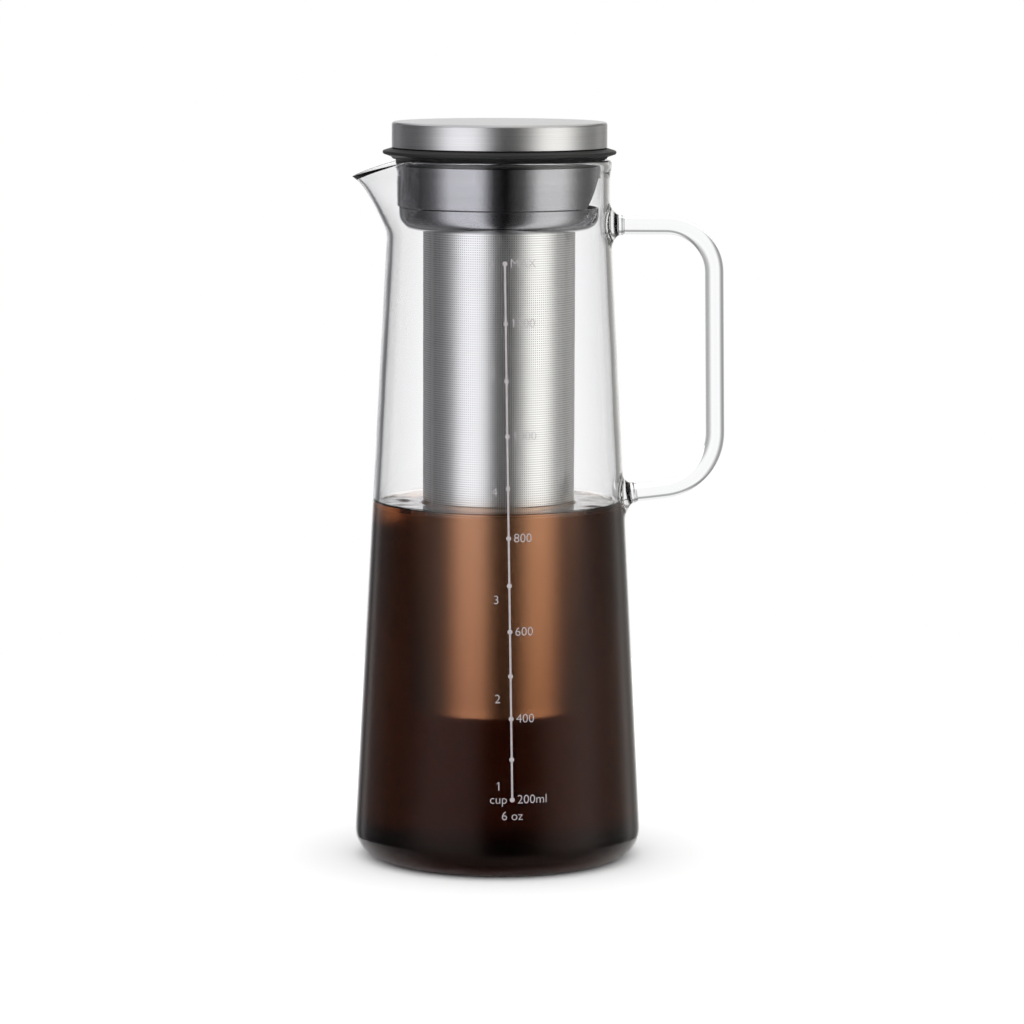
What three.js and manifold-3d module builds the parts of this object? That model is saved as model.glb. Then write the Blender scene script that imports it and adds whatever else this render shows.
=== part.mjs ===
// Cold brew coffee jug: a conical glass carafe with a fused glass handle and a pulled spout, a
// steel lid with a turning pour collar, and a fine steel filter that hangs from the lid.
// Millimetres, +Z up, origin at the centre of the foot, spout along -X and handle along +X.
import * as THREE from "three";
import { mergeVertices } from "three/addons/utils/BufferGeometryUtils.js";
import Module from "manifold-3d";

const wasm = await Module();
wasm.setup();

// Carafe
const CARAFE_HEIGHT = 251.3; // foot to rim
const BODY_RADIUS = 51.5; // widest, just above the foot
const FOOT_CORNER = 10; // outer radius of the rounded bottom edge
const NECK_RADIUS = 39.5; // outer
const NECK_LENGTH = 15.3; // of the straight neck, from the end of the cone to the rim
const GLASS_WALL = 2.2;
const FLOOR_THICKNESS = 3;
const RIM_BEAD = 1.35; // radius of the fire-polished bead round the rim

// Spout, pulled out of the neck
const SPOUT_REACH = 13; // beyond the neck
const SPOUT_LENGTH = 26.3; // from where the pull starts to the rim
const SPOUT_DIP = 6; // fall of the rim towards the tip
const SPOUT_HALF_ANGLE = THREE.MathUtils.degToRad(36); // half its width round the rim
const SPOUT_SHARPNESS = 1.2; // 1 makes a straight-sided beak, more a hollow-sided one

// Handle, a bent glass rod fused to the wall at both ends
const ROD_THICKNESS = 6.6; // seen from the side
const ROD_WIDTH = 9; // across the palm
const HANDLE_DROP = 23.3; // from the rim down to the upper arm's middle
const HANDLE_SPAN = 96.6; // between the middles of the two arms at the wall
const HANDLE_REACH = 78; // axis of the jug to the middle of the grip, at its foot
const GRIP_LEAN = 1.3; // how much nearer the grip's top is
const LOWER_ARM_RISE = 4; // from the wall to the grip
const UPPER_BEND = 17; // radius of the rod's middle
const LOWER_BEND = 20.5;
const WELD_RADIUS = 8.4; // of the flared end where it meets the wall
const WELD_LENGTH = 6.2; // of the flare along the rod
const WELD_GAP = 0.3; // kept between the flare and the wall

// Lid
const CAP_RADIUS = 38.4;
const CAP_HEIGHT = 9.1;
const CAP_EDGE = 1.1; // radius between the cap's top and its skirt
const SHEET = 0.6; // steel of the cap, collar and strainer dish
const FLANGE_RADIUS = 41.7; // silicone lip that covers the glass rim
const FLANGE_THICKNESS = 2.3;
const FLANGE_LIFT = 1.4; // height of the seat under the lip
const SEAT_OVERLAP = 1.2; // how far the seat reaches over the rim
const PLUG_DEPTH = 3.9; // of the gasket below the rim
const GASKET_WALL = 2.2;
const CORE_WALL = 2;

// Pour collar
const COLLAR_HEIGHT = 12.4;
const COLLAR_GAP = 1.2; // between the collar and the neck, so that it turns freely
const WINDOW_SILL = 40; // width of the pour window at its open foot
const WINDOW_HEAD = 22.6; // width at its top
const WINDOW_HEIGHT = 10.8;

// Collar screws
const SCREW_COUNT = 3;
const SCREW_SHANK = 1.25;
const SCREW_HEAD = 2.3;
const SCREW_HEAD_HEIGHT = 1.7;
const SCREW_LENGTH = 8;
const SCREW_TIP = 1.6;
const SCREW_SLOT_WIDTH = 0.8;
const SCREW_SLOT_DEPTH = 0.9;
const BOSS_WALL = 1.2; // plastic round each screw

// Filter
const FILTER_RADIUS = 27.2;
const FILTER_WALL = 0.4;
const FILTER_LENGTH = 192.8; // of the sleeve
const TOP_RING_WIDTH = 0.9;
const TOP_RING_HEIGHT = 2;
const BASE_DEPTH = 3.4; // of the pressed base's skirt
const DISH_DEPTH = 7.9; // strainer dish, foot to lip
const DISH_LIP = 1.1; // straight part at the dish's top
const DISH_STEP = 0.65; // how much narrower the dish is than the collar
const DISH_HUB_HEIGHT = 3.3;
const STRAINER_HOLES = 16;
const STRAINER_HOLE_RADIUS = 1;
const GRIP_DEPTH = 9.2; // of the core's boss that the filter's mouth slides over
const GRIP_WALL = 2.8;
const ORING_SECTION = 1.05; // radius of the silicone ring on that boss

const CLEARANCE = 0.3; // between pieces that touch
const OVERRUN = 1; // how far a cutter runs past what it cuts

// Facets
const CARAFE_FACETS = 48;
const STEEL_FACETS = 40;
const MOULDED_FACETS = 36;
const ROD_FACETS = 12;
const ROD_STEPS = 44;
const ARC_STEPS = 6;
const SMALL_ARC_STEPS = 3;
const SCREW_FACETS = 12;
const HOLE_FACETS = 8;
const SPOUT_ROWS = 7;

// Places that follow from the sizes
const NECK_START = CARAFE_HEIGHT - NECK_LENGTH;
const SPOUT_ROOT = CARAFE_HEIGHT - SPOUT_LENGTH;
const HANDLE_TOP = CARAFE_HEIGHT - HANDLE_DROP;
const HANDLE_BOTTOM = HANDLE_TOP - HANDLE_SPAN;
const NECK_BORE = NECK_RADIUS - GLASS_WALL;
const GASKET_PLUG = NECK_BORE - CLEARANCE;
const GASKET_BORE = GASKET_PLUG - GASKET_WALL;
const SEAT_BOTTOM = CARAFE_HEIGHT + CLEARANCE;
const FLANGE_BOTTOM = SEAT_BOTTOM + FLANGE_LIFT;
const FLANGE_TOP = FLANGE_BOTTOM + FLANGE_THICKNESS;
const CAP_BOTTOM = FLANGE_TOP + CLEARANCE;
const CAP_TOP = CAP_BOTTOM + CAP_HEIGHT;
const CORE_BOTTOM = CARAFE_HEIGHT - PLUG_DEPTH;
const COLLAR_TOP = CORE_BOTTOM - CLEARANCE;
const COLLAR_RADIUS = NECK_BORE - COLLAR_GAP;
const COLLAR_BOTTOM = COLLAR_TOP - COLLAR_HEIGHT;
const DISH_TOP = COLLAR_BOTTOM - CLEARANCE;
const DISH_BOTTOM = DISH_TOP - DISH_DEPTH;
const DISH_RADIUS = COLLAR_RADIUS - DISH_STEP;
const FILTER_BORE = FILTER_RADIUS - FILTER_WALL;
const FILTER_TOP = CORE_BOTTOM - CLEARANCE - CLEARANCE;
const FILTER_FLOOR = FILTER_TOP - FILTER_LENGTH;
const DISH_BORE = FILTER_RADIUS + CLEARANCE;
const GRIP_RADIUS = FILTER_BORE - CLEARANCE - ORING_SECTION;
const LEDGE_BORE = DISH_BORE + TOP_RING_WIDTH + CLEARANCE;
const SCREW_HOLE = SCREW_SHANK + CLEARANCE;
const SCREW_SEAT = COLLAR_TOP - SHEET - CLEARANCE;
const SCREW_CIRCLE = GASKET_BORE - CLEARANCE - CLEARANCE - BOSS_WALL - SCREW_HOLE;

// Materials, in the colours that the pieces have
const glass = new THREE.MeshStandardMaterial({
  color: 0xe8eef0, roughness: 0.05, metalness: 0, transparent: true, opacity: 0.35,
});
const brushedSteel = new THREE.MeshStandardMaterial({ color: 0xb4b2b4, roughness: 0.35, metalness: 1 });
const darkSteel = new THREE.MeshStandardMaterial({ color: 0x7b7b80, roughness: 0.25, metalness: 1 });
const etchedSteel = new THREE.MeshStandardMaterial({ color: 0xc2c2c0, roughness: 0.4, metalness: 1 });
const silicone = new THREE.MeshStandardMaterial({ color: 0x1c1c1e, roughness: 0.6, metalness: 0 });
const plastic = new THREE.MeshStandardMaterial({ color: 0x232326, roughness: 0.5, metalness: 0 });

// Profile helpers: a point at a radius and a height, and an arc of such points
function at(radius, height) {
  return new THREE.Vector2(radius, height);
}

function arc(centre, radiusAcross, radiusUp, from, to, steps) {
  const points = [];
  for (let i = 0; i <= steps; i++) {
    const angle = from + ((to - from) * i) / steps;
    points.push(at(centre.x + radiusAcross * Math.cos(angle), centre.y + radiusUp * Math.sin(angle)));
  }
  return points;
}

// A body turned round the Z axis from a closed profile, or from one that starts and ends on it
function turned(profile, facets) {
  const closed = profile[0].x > 0 ? [...profile, profile[0].clone()] : profile;
  return new THREE.LatheGeometry(closed, facets).rotateX(Math.PI / 2);
}

// Boolean helpers
function solidOf(geometry) {
  const bare = geometry.clone();
  for (const name of Object.keys(bare.attributes)) {
    if (name !== "position") bare.deleteAttribute(name);
  }
  const merged = mergeVertices(bare, CLEARANCE / 1000);
  return new wasm.Manifold(
    new wasm.Mesh({
      numProp: 3,
      vertProperties: new Float32Array(merged.attributes.position.array),
      triVerts: new Uint32Array(merged.index.array),
    }),
  );
}

function geometryOf(solid) {
  const mesh = solid.getMesh();
  const geometry = new THREE.BufferGeometry();
  geometry.setAttribute("position", new THREE.BufferAttribute(new Float32Array(mesh.vertProperties), 3));
  geometry.setIndex(new THREE.BufferAttribute(new Uint32Array(mesh.triVerts), 1));
  geometry.computeVertexNormals();
  return geometry;
}

const jug = new THREE.Group();

function addPiece(name, geometry, material) {
  const mesh = new THREE.Mesh(geometry, material);
  mesh.name = name;
  jug.add(mesh);
  return mesh;
}

// Outer radius of the jug's straight side: a cone up to the neck
function sideRadius(height) {
  const share = (height - FOOT_CORNER) / (NECK_START - FOOT_CORNER);
  return Math.max(NECK_RADIUS, BODY_RADIUS + (NECK_RADIUS - BODY_RADIUS) * share);
}

// Rounded edge between the foot and the side, for a skin at a depth inside the outer one
function footCorner(depth, floor) {
  const radius = FOOT_CORNER - depth;
  const centre = at(BODY_RADIUS - FOOT_CORNER, floor + radius);
  return arc(centre, radius, radius, -Math.PI / 2, 0, ARC_STEPS);
}

// Heights of the rows of points from the spout's root to the middle of the rim's bead
const spoutHeights = Array.from(
  { length: SPOUT_ROWS },
  (_, row) => SPOUT_ROOT + ((CARAFE_HEIGHT - RIM_BEAD - SPOUT_ROOT) * row) / SPOUT_ROWS,
);

// Pulls the points near the spout's middle outwards and lets the rim fall towards the tip
function pullSpout(geometry) {
  const place = geometry.attributes.position;
  for (let i = 0; i < place.count; i++) {
    const x = place.getX(i);
    const y = place.getY(i);
    const z = place.getZ(i);
    const rise = (z - SPOUT_ROOT) / (CARAFE_HEIGHT - SPOUT_ROOT);
    const turn = Math.abs(Math.atan2(y, -x)) / SPOUT_HALF_ANGLE;
    if (rise <= 0 || turn >= 1) continue;
    const beak = (1 - turn) ** SPOUT_SHARPNESS;
    const radius = Math.hypot(x, y);
    const stretch = (radius + SPOUT_REACH * rise * beak) / radius;
    place.setXYZ(i, x * stretch, y * stretch, z - SPOUT_DIP * beak * rise ** 3);
  }
  geometry.computeVertexNormals();
  return geometry;
}

function carafeGeometry() {
  const beadCentre = at(NECK_BORE + RIM_BEAD, CARAFE_HEIGHT - RIM_BEAD);
  const outside = spoutHeights.map((height) => at(sideRadius(height), height));
  const inside = spoutHeights.map((height) => at(sideRadius(height) - GLASS_WALL, height));
  const profile = [
    at(0, 0),
    ...footCorner(0, 0),
    ...outside,
    ...arc(beadCentre, RIM_BEAD, RIM_BEAD, 0, Math.PI, ARC_STEPS),
    ...inside.reverse(),
    ...footCorner(GLASS_WALL, FLOOR_THICKNESS).reverse(),
    at(0, FLOOR_THICKNESS),
  ];
  return pullSpout(turned(profile, CARAFE_FACETS));
}

addPiece("carafe", carafeGeometry(), glass);

// Handle: the middle of the rod runs along straight arms, joined by round bends
function bend(before, corner, after, radius) {
  const back = before.clone().sub(corner).normalize();
  const on = after.clone().sub(corner).normalize();
  const turn = Math.PI - back.angleTo(on);
  const tangent = radius * Math.tan(turn / 2);
  const pull = tangent - (4 / 3) * radius * Math.tan(turn / 4);
  const along = (direction, length) => corner.clone().addScaledVector(direction, length);
  return new THREE.CubicBezierCurve3(
    along(back, tangent), along(back, pull), along(on, pull), along(on, tangent));
}

function rodRoute() {
  const start = new THREE.Vector3(sideRadius(HANDLE_TOP) - GLASS_WALL, 0, HANDLE_TOP);
  const upper = new THREE.Vector3(HANDLE_REACH - GRIP_LEAN, 0, HANDLE_TOP);
  const lower = new THREE.Vector3(HANDLE_REACH, 0, HANDLE_BOTTOM + LOWER_ARM_RISE);
  const end = new THREE.Vector3(sideRadius(HANDLE_BOTTOM) - GLASS_WALL, 0, HANDLE_BOTTOM);
  const upperBend = bend(start, upper, lower, UPPER_BEND);
  const lowerBend = bend(upper, lower, end, LOWER_BEND);
  const route = new THREE.CurvePath();
  route.add(new THREE.LineCurve3(start, upperBend.v0));
  route.add(upperBend);
  route.add(new THREE.LineCurve3(upperBend.v3, lowerBend.v0));
  route.add(lowerBend);
  route.add(new THREE.LineCurve3(lowerBend.v3, end));
  return route;
}

function rodGeometry() {
  const section = new THREE.Shape(
    Array.from({ length: ROD_FACETS }, (_, i) => {
      const angle = (2 * Math.PI * i) / ROD_FACETS;
      return new THREE.Vector2(
        (ROD_THICKNESS / 2) * Math.cos(angle),
        (ROD_WIDTH / 2) * Math.sin(angle),
      );
    }),
  );
  return new THREE.ExtrudeGeometry(section, { steps: ROD_STEPS, extrudePath: rodRoute() });
}

// The rod's flared end: wide at the wall and narrowing in a hollow curve, along +X from the wall
function weldFlare(wallRadius, height) {
  const hollow = WELD_RADIUS - ROD_THICKNESS / 2 + CLEARANCE;
  const profile = [at(0, -GLASS_WALL), at(WELD_RADIUS, -GLASS_WALL)];
  for (let i = 0; i <= ARC_STEPS; i++) {
    const share = i / ARC_STEPS;
    const fall = Math.sqrt(1 - (1 - share) ** 2);
    profile.push(at(WELD_RADIUS - hollow * fall, WELD_LENGTH * share));
  }
  profile.push(at(0, WELD_LENGTH));
  return turned(profile, 2 * ROD_FACETS)
    .rotateY(Math.PI / 2)
    .scale(1, ROD_WIDTH / ROD_THICKNESS, 1)
    .translate(wallRadius, 0, height);
}

// The jug's outer body as a plain solid, grown by the gap, to trim the handle's ends
function trimmingBody() {
  const profile = [
    at(0, -WELD_GAP),
    ...footCorner(-WELD_GAP, -WELD_GAP),
    at(NECK_RADIUS + WELD_GAP, NECK_START),
    at(NECK_RADIUS + WELD_GAP, CARAFE_HEIGHT),
    at(0, CARAFE_HEIGHT),
  ];
  return turned(profile, CARAFE_FACETS);
}

const handleSolid = solidOf(rodGeometry())
  .add(solidOf(weldFlare(sideRadius(HANDLE_TOP), HANDLE_TOP)))
  .add(solidOf(weldFlare(sideRadius(HANDLE_BOTTOM), HANDLE_BOTTOM)))
  .subtract(solidOf(trimmingBody()));
addPiece("handle", geometryOf(handleSolid), glass);

// Gasket: a plug inside the rim, a seat on it and a thin lip over it
function gasketGeometry() {
  const seatRadius = GASKET_PLUG + SEAT_OVERLAP;
  const lipEdge = FLANGE_THICKNESS / 3;
  return turned(
    [
      at(GASKET_BORE, CORE_BOTTOM),
      at(GASKET_PLUG - CLEARANCE, CORE_BOTTOM),
      at(GASKET_PLUG, CORE_BOTTOM + CLEARANCE),
      at(GASKET_PLUG, SEAT_BOTTOM),
      at(seatRadius, SEAT_BOTTOM),
      at(seatRadius, FLANGE_BOTTOM - CLEARANCE),
      at(FLANGE_RADIUS - FLANGE_THICKNESS / 2, FLANGE_BOTTOM + CLEARANCE),
      at(FLANGE_RADIUS - lipEdge / 3, FLANGE_BOTTOM + lipEdge),
      at(FLANGE_RADIUS, FLANGE_TOP - lipEdge - CLEARANCE),
      at(FLANGE_RADIUS - lipEdge, FLANGE_TOP - CLEARANCE),
      at(CAP_RADIUS, FLANGE_TOP),
      at(GASKET_BORE, FLANGE_TOP),
    ],
    STEEL_FACETS,
  );
}

addPiece("lid_gasket", gasketGeometry(), silicone);

// Cap: one pressed sheet, a flat top and a skirt
function capGeometry() {
  const outer = at(CAP_RADIUS - CAP_EDGE, CAP_TOP - CAP_EDGE);
  const inner = CAP_EDGE - SHEET;
  return turned(
    [
      at(0, CAP_TOP - SHEET),
      ...arc(outer, inner, inner, Math.PI / 2, 0, SMALL_ARC_STEPS),
      at(CAP_RADIUS - SHEET, CAP_BOTTOM),
      at(CAP_RADIUS, CAP_BOTTOM),
      ...arc(outer, CAP_EDGE, CAP_EDGE, 0, Math.PI / 2, SMALL_ARC_STEPS),
      at(0, CAP_TOP),
    ],
    STEEL_FACETS,
  );
}

addPiece("lid_cap", capGeometry(), brushedSteel);

// Core: a plastic cup that fills the cap, passes through the gasket and carries the collar, with
// a boss below for the filter's mouth
function coreShell() {
  const plug = GASKET_BORE - CLEARANCE;
  const rim = CAP_RADIUS - SHEET - CLEARANCE;
  const rimTop = CAP_TOP - SHEET - CLEARANCE;
  const floor = CORE_BOTTOM + CORE_WALL;
  const gripBottom = CORE_BOTTOM - GRIP_DEPTH;
  const ringHeight = gripBottom + GRIP_WALL + ORING_SECTION;
  const groove = GRIP_RADIUS - ORING_SECTION - CLEARANCE;
  const grooveHalf = ORING_SECTION + CLEARANCE;
  return turned(
    [
      at(0, CORE_BOTTOM),
      at(GRIP_RADIUS - GRIP_WALL, CORE_BOTTOM),
      at(GRIP_RADIUS - GRIP_WALL, gripBottom),
      at(GRIP_RADIUS, gripBottom),
      at(GRIP_RADIUS, ringHeight - grooveHalf),
      at(groove, ringHeight - grooveHalf),
      at(groove, ringHeight + grooveHalf),
      at(GRIP_RADIUS, ringHeight + grooveHalf),
      at(GRIP_RADIUS, CORE_BOTTOM),
      at(plug, CORE_BOTTOM),
      at(plug, CAP_BOTTOM),
      at(rim, CAP_BOTTOM),
      at(rim, rimTop),
      at(rim - CORE_WALL, rimTop),
      at(rim - CORE_WALL, CAP_BOTTOM + CORE_WALL),
      at(plug - CORE_WALL, CAP_BOTTOM + CORE_WALL),
      at(plug - CORE_WALL, floor),
      at(0, floor),
    ],
    MOULDED_FACETS,
  );
}

// One angle for each screw, with the pour window midway between two of them
const screwAngles = Array.from(
  { length: SCREW_COUNT },
  (_, i) => (2 * Math.PI * (i + 1 / 2)) / SCREW_COUNT,
);

function upright(radius, bottom, top, facets) {
  return turned([at(0, bottom), at(radius, bottom), at(radius, top), at(0, top)], facets);
}

function roundTheScrewCircle(geometry, angle) {
  return geometry.translate(SCREW_CIRCLE, 0, 0).rotateZ(angle);
}

function coreSolid() {
  const holeTop = SCREW_SEAT + SCREW_LENGTH + CLEARANCE;
  const bossTop = holeTop + BOSS_WALL;
  let core = solidOf(coreShell());
  for (const angle of screwAngles) {
    const boss = upright(SCREW_HOLE + BOSS_WALL, CORE_BOTTOM + CLEARANCE, bossTop, SCREW_FACETS);
    const hole = upright(SCREW_HOLE, CORE_BOTTOM - OVERRUN, holeTop, SCREW_FACETS);
    core = core
      .add(solidOf(roundTheScrewCircle(boss, angle)))
      .subtract(solidOf(roundTheScrewCircle(hole, angle)));
  }
  return core;
}

addPiece("lid_core", geometryOf(coreSolid()), plastic);

// Silicone ring in the groove of the core's boss, which grips and seals the filter's mouth
const gripRing = new THREE.TorusGeometry(GRIP_RADIUS, ORING_SECTION, HOLE_FACETS, MOULDED_FACETS);
gripRing.translate(0, 0, CORE_BOTTOM - GRIP_DEPTH + GRIP_WALL + ORING_SECTION);
addPiece("filter_grip_ring", gripRing, silicone);

// Pour collar: a steel band with a ledge under the core and a window open at its foot
function collarBand() {
  const bore = COLLAR_RADIUS - SHEET;
  return turned(
    [
      at(bore, COLLAR_BOTTOM),
      at(COLLAR_RADIUS, COLLAR_BOTTOM),
      at(COLLAR_RADIUS, COLLAR_TOP),
      at(LEDGE_BORE, COLLAR_TOP),
      at(LEDGE_BORE, COLLAR_TOP - SHEET),
      at(bore, COLLAR_TOP - SHEET),
    ],
    STEEL_FACETS,
  );
}

function windowCutter() {
  const foot = COLLAR_BOTTOM - OVERRUN;
  const head = COLLAR_BOTTOM + WINDOW_HEIGHT;
  const shape = new THREE.Shape([
    new THREE.Vector2(-WINDOW_SILL / 2, foot),
    new THREE.Vector2(WINDOW_SILL / 2, foot),
    new THREE.Vector2(WINDOW_SILL / 2, COLLAR_BOTTOM),
    new THREE.Vector2(WINDOW_HEAD / 2, head),
    new THREE.Vector2(-WINDOW_HEAD / 2, head),
    new THREE.Vector2(-WINDOW_SILL / 2, COLLAR_BOTTOM),
  ]);
  // The outline lies across Y and Z and is pushed along +X from inside the band to outside it
  return new THREE.ExtrudeGeometry(shape, { depth: COLLAR_RADIUS + OVERRUN, bevelEnabled: false })
    .rotateX(Math.PI / 2)
    .rotateZ(Math.PI / 2);
}

let collarSolid = solidOf(collarBand()).subtract(solidOf(windowCutter()));
for (const angle of screwAngles) {
  const hole = upright(SCREW_HOLE, COLLAR_TOP - SHEET - OVERRUN, COLLAR_TOP + OVERRUN, SCREW_FACETS);
  collarSolid = collarSolid.subtract(solidOf(roundTheScrewCircle(hole, angle)));
}
addPiece("pour_collar", geometryOf(collarSolid), darkSteel);

// Screws, driven up through the collar's ledge into the core
function screwGeometry() {
  const crown = SCREW_HEAD_HEIGHT / 3;
  const shell = turned(
    [
      at(0, SCREW_SEAT - SCREW_HEAD_HEIGHT),
      at(SCREW_HEAD - crown, SCREW_SEAT - SCREW_HEAD_HEIGHT),
      at(SCREW_HEAD, SCREW_SEAT - SCREW_HEAD_HEIGHT + crown),
      at(SCREW_HEAD, SCREW_SEAT),
      at(SCREW_SHANK, SCREW_SEAT),
      at(SCREW_SHANK, SCREW_SEAT + SCREW_LENGTH - SCREW_TIP),
      at(0, SCREW_SEAT + SCREW_LENGTH),
    ],
    SCREW_FACETS,
  );
  let screw = solidOf(shell);
  const slotLength = 2 * (SCREW_HEAD - 2 * crown);
  for (const turn of [0, Math.PI / 2]) {
    const slot = new THREE.BoxGeometry(slotLength, SCREW_SLOT_WIDTH, 2 * SCREW_SLOT_DEPTH);
    slot.rotateZ(turn).translate(0, 0, SCREW_SEAT - SCREW_HEAD_HEIGHT);
    screw = screw.subtract(solidOf(slot));
  }
  return geometryOf(screw);
}

screwAngles.forEach((angle, i) => {
  addPiece(`collar_screw_${i + 1}`, roundTheScrewCircle(screwGeometry(), angle), brushedSteel);
});

// Filter sleeve: a tube of finely etched sheet
addPiece(
  "filter_sleeve",
  turned(
    [at(FILTER_BORE, FILTER_FLOOR), at(FILTER_RADIUS, FILTER_FLOOR), at(FILTER_RADIUS, FILTER_TOP),
      at(FILTER_BORE, FILTER_TOP)],
    STEEL_FACETS,
  ),
  etchedSteel,
);

// Plain steel ring round the sleeve's mouth
function topRingGeometry() {
  const bottom = FILTER_TOP - TOP_RING_HEIGHT;
  const chamfer = TOP_RING_WIDTH / 3;
  return turned(
    [
      at(DISH_BORE, bottom),
      at(DISH_BORE + TOP_RING_WIDTH - chamfer, bottom),
      at(DISH_BORE + TOP_RING_WIDTH, bottom + chamfer),
      at(DISH_BORE + TOP_RING_WIDTH, FILTER_TOP - chamfer),
      at(DISH_BORE + TOP_RING_WIDTH - chamfer, FILTER_TOP),
      at(DISH_BORE, FILTER_TOP),
    ],
    STEEL_FACETS,
  );
}

addPiece("filter_top_ring", topRingGeometry(), brushedSteel);

// Strainer dish: a round-bottomed steel ring below the collar, with a hub round the sleeve
function dishShell() {
  const foot = DISH_BOTTOM;
  const springing = DISH_TOP - DISH_LIP;
  const rise = springing - foot;
  const centre = at(DISH_BORE + SHEET, springing);
  const across = DISH_RADIUS - centre.x;
  return turned(
    [
      at(DISH_BORE, foot),
      ...arc(centre, across, rise, -Math.PI / 2, 0, ARC_STEPS),
      at(DISH_RADIUS, DISH_TOP),
      at(DISH_RADIUS - SHEET, DISH_TOP),
      ...arc(centre, across - SHEET, rise - SHEET, 0, -Math.PI / 2, ARC_STEPS),
      at(DISH_BORE + SHEET, foot + DISH_HUB_HEIGHT),
      at(DISH_BORE, foot + DISH_HUB_HEIGHT),
    ],
    STEEL_FACETS,
  );
}

let dishSolid = solidOf(dishShell());
const strainerCircle = DISH_BORE + 2 * SHEET + STRAINER_HOLE_RADIUS;
for (let i = 0; i < STRAINER_HOLES; i++) {
  const hole = upright(
    STRAINER_HOLE_RADIUS, DISH_BOTTOM - OVERRUN, DISH_BOTTOM + SHEET + OVERRUN, HOLE_FACETS);
  hole.translate(strainerCircle, 0, 0).rotateZ((2 * Math.PI * i) / STRAINER_HOLES);
  dishSolid = dishSolid.subtract(solidOf(hole));
}
addPiece("strainer_dish", geometryOf(dishSolid), darkSteel);

// Filter base: a pressed disc with its skirt turned down inside the sleeve
function baseGeometry() {
  const radius = FILTER_BORE - CLEARANCE;
  const bottom = FILTER_FLOOR + CLEARANCE;
  const top = bottom + BASE_DEPTH;
  return turned(
    [
      at(0, top - SHEET),
      at(radius - SHEET, top - SHEET),
      at(radius - SHEET, bottom),
      at(radius, bottom),
      at(radius, top - SHEET),
      at(radius - SHEET, top),
      at(0, top),
    ],
    STEEL_FACETS,
  );
}

addPiece("filter_base", baseGeometry(), etchedSteel);

export default jug;
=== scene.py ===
# A cold brew coffee jug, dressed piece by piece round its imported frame. Metres, +Z up, with the
# spout along -X, the handle along +X and the photograph's camera looking along +Y.
import math

import bmesh
import bpy
from mathutils import Matrix, Vector, noise


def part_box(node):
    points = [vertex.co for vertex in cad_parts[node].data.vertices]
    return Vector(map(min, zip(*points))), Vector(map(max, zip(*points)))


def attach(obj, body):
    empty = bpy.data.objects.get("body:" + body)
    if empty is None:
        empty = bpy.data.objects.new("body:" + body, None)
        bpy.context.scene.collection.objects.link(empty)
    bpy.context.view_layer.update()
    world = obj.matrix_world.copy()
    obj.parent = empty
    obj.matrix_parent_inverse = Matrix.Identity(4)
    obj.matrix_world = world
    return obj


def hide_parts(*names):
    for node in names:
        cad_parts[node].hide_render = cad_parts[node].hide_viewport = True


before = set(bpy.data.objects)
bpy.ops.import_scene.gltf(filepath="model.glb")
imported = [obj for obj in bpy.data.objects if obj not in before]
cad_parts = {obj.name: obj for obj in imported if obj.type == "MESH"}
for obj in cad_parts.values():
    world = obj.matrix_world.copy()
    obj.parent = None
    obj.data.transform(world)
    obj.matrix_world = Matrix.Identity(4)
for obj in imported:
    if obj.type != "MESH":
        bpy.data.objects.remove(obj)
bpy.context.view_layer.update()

# Carafe and handle
# Clear borosilicate glass: a blown cone with a rounded foot, a fire-polished rim and a pulled
# spout, and a bent oval rod whose flared ends are melted into the wall.
carafe_low, carafe_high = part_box("carafe")
RIM = carafe_high.z
BODY_RADIUS = carafe_high.y
NECK_RADIUS = 0.0395
NECK_START = RIM - 0.0153
NECK_ROUNDING = 0.004
FOOT_CORNER = 0.010
GLASS_WALL = 0.0022
GLASS_FLOOR = 0.003
BOWL_FLOOR = 0.0006
BOWL_CORNER = 0.007
BEAD = 0.00135
RIM_ROUNDING = BEAD * 0.98
GLASS_TURNS = 240
GLASS_ROW = 0.0021
CORNER_STEPS = 8
SPOUT_REACH = 0.013
SPOUT_LENGTH = 0.0263
SPOUT_DIP = 0.006
SPOUT_HALF_ANGLE = math.radians(36)
SPOUT_SHARPNESS = 1.2
SPOUT_NOSE = 0.1
COFFEE_LEVEL = 0.1286
# Painted shade through the coffee, on top of the drink's own absorption. These set the path length
# at which the glass starts to darken light from inside, the fade, the paler layer under the surface
# with its billowy edge, and the near-black level.
MURK_START = 0.0176
MURK_FADE = 0.009
MURK_SHALLOW = 0.006
MURK_BILLOW = 6.0
MURK_SHADE_LEVEL = 0.0043
MURK_TOP = COFFEE_LEVEL - 0.003
CLEAR = (0.985, 0.985, 0.99, 1)
# Painted shade on the glass's reflection where the coffee stands. The outer reflection below the
# coffee level is dimmed to a brown. The wetted inner wall's reflection is really weaker against
# coffee, and it is also painted a dark brown.
OUTSIDE_REFLECTION_SHADE = (0.26, 0.2, 0.19, 1)
WET_INSIDE_REFLECTION_SHADE = (0.03, 0.009, 0.005, 1)
# Painted shade at the foot: the dark brown that the glass's underside, and light led out low after
# a bounce, take so that the foot's bottom edge stays dark.
PAINTED_FOOT_SHADE = (0.012, 0.003, 0.002, 1)
# Painted highlight: the glass keeps only this share of its reflection on the body. It rises to full
# reflection between 12 and 6 mm under the rim, so the bead shows a brighter reflection.
BODY_REFLECTION_DIMMED = 0.4
RIM_HIGHLIGHT_START = RIM - 0.012
RIM_HIGHLIGHT_FULL = RIM - 0.006

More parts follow.
